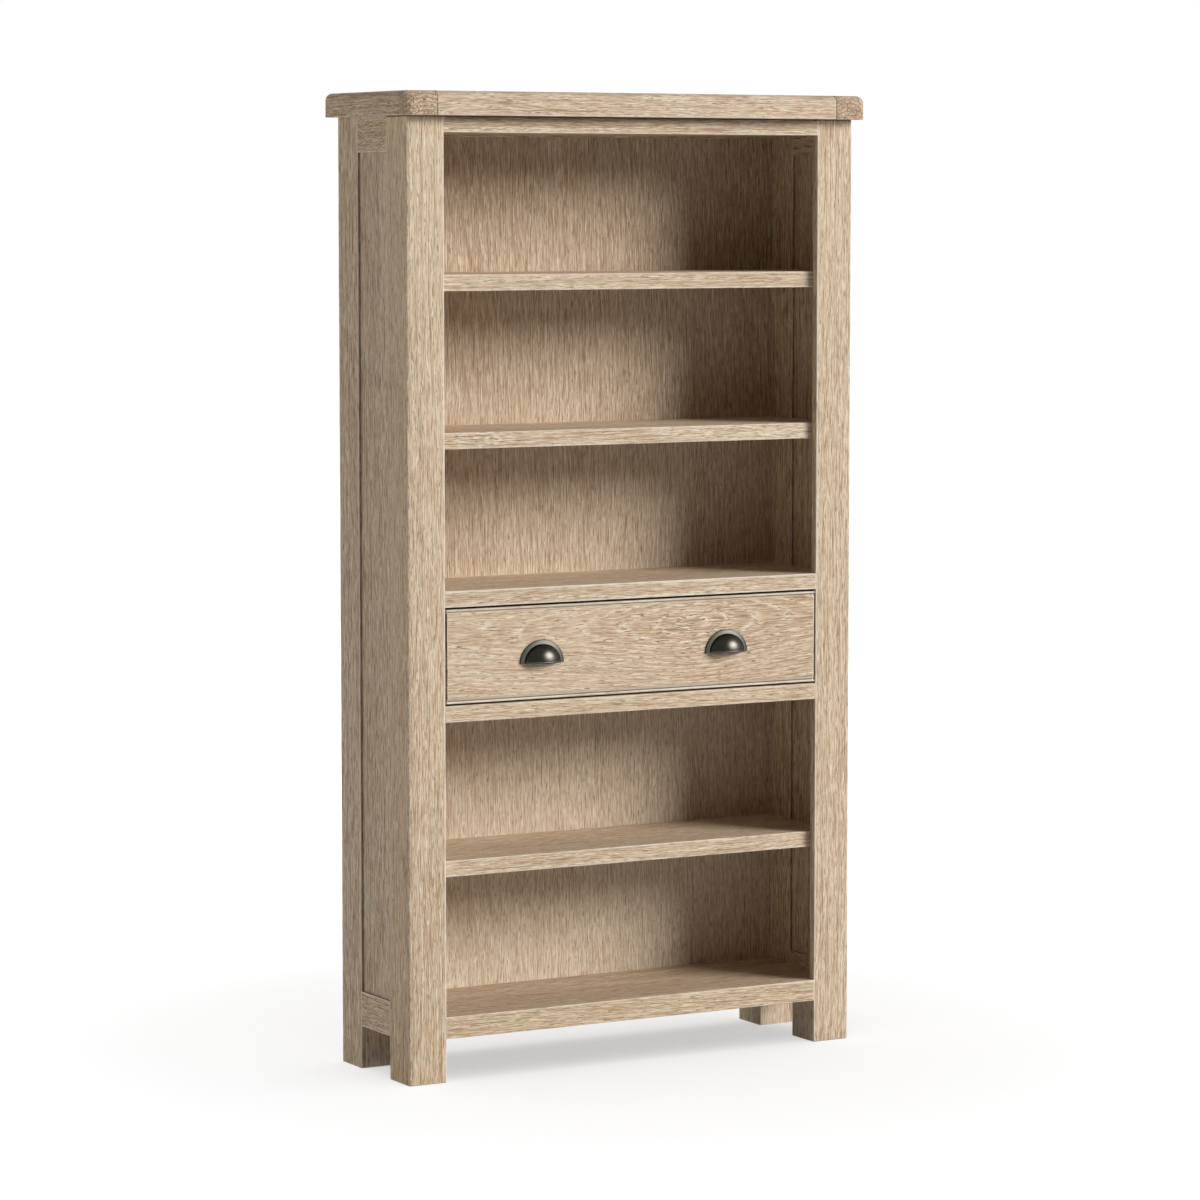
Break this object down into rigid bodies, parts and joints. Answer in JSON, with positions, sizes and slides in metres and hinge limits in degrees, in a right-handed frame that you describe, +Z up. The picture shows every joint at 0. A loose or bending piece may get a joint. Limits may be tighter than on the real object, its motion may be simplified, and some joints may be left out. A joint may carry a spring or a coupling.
{
  "type": "bookcase",
  "caption": "Tall open bookcase in limed oak with framed sides, block feet and a shallow drawer with cup pulls set between the open bays.",
  "frame": {"origin": "on the floor, under the middle of the top board's footprint", "axes": "+Z up, -Y out of the open front, +X to the right seen from the front"},
  "size_m": [0.98, 0.316, 1.8],
  "materials": {
    "limed_oak": "washed and limed solid oak, matt lacquer",
    "oak_veneer": "washed and limed oak veneer, matt lacquer",
    "plain_hardwood": "plain hardwood, thin clear lacquer",
    "antique_pewter": "dark antique pewter plating, satin, brightened on the arrises",
    "zinc_steel": "zinc plated steel"
  },
  "bodies": {
    "case": {"top_field": "limed_oak", "under_top_board": "limed_oak", "top_front_rail": "limed_oak", "cover_board": "limed_oak", "drawer_deck": "limed_oak", "drawer_front_rail": "limed_oak", "bottom_board": "limed_oak", "bottom_front_rail": "limed_oak", "bottom_back_rail": "limed_oak", "top_shelf": "limed_oak", "middle_shelf": "limed_oak", "low_shelf": "limed_oak", "back_panel": "oak_veneer", "drawer_stops": "plain_hardwood", "shelf_pins": "zinc_steel", "case_dowels": "plain_hardwood", "top_screws": "zinc_steel", "back_nails": "zinc_steel", "top_cleat_left": "limed_oak", "front_post_left": "limed_oak", "rear_stile_left": "limed_oak", "side_top_rail_left": "limed_oak", "side_bottom_rail_left": "limed_oak", "side_panel_left": "oak_veneer", "front_foot_block_left": "limed_oak", "rear_foot_block_left": "limed_oak", "drawer_guide_left": "plain_hardwood", "drawer_kicker_left": "plain_hardwood", "top_cleat_right": "limed_oak", "front_post_right": "limed_oak", "rear_stile_right": "limed_oak", "side_top_rail_right": "limed_oak", "side_bottom_rail_right": "limed_oak", "side_panel_right": "oak_veneer", "front_foot_block_right": "limed_oak", "rear_foot_block_right": "limed_oak", "drawer_guide_right": "plain_hardwood", "drawer_kicker_right": "plain_hardwood"},
    "drawer": {"drawer_front": "limed_oak", "drawer_bead_upper": "limed_oak", "drawer_bead_lower": "limed_oak", "drawer_back": "plain_hardwood", "drawer_bottom": "plain_hardwood", "pull_screws": "zinc_steel", "drawer_bottom_screws": "zinc_steel", "drawer_side_left": "plain_hardwood", "cup_pull_left": "antique_pewter", "drawer_side_right": "plain_hardwood", "cup_pull_right": "antique_pewter"}
  },
  "joints": [
    {"name": "drawer_slide", "type": "slide", "parent": "case", "child": "drawer", "axis": [0, -1, 0], "range_m": [0, 0.18]}
  ]
}
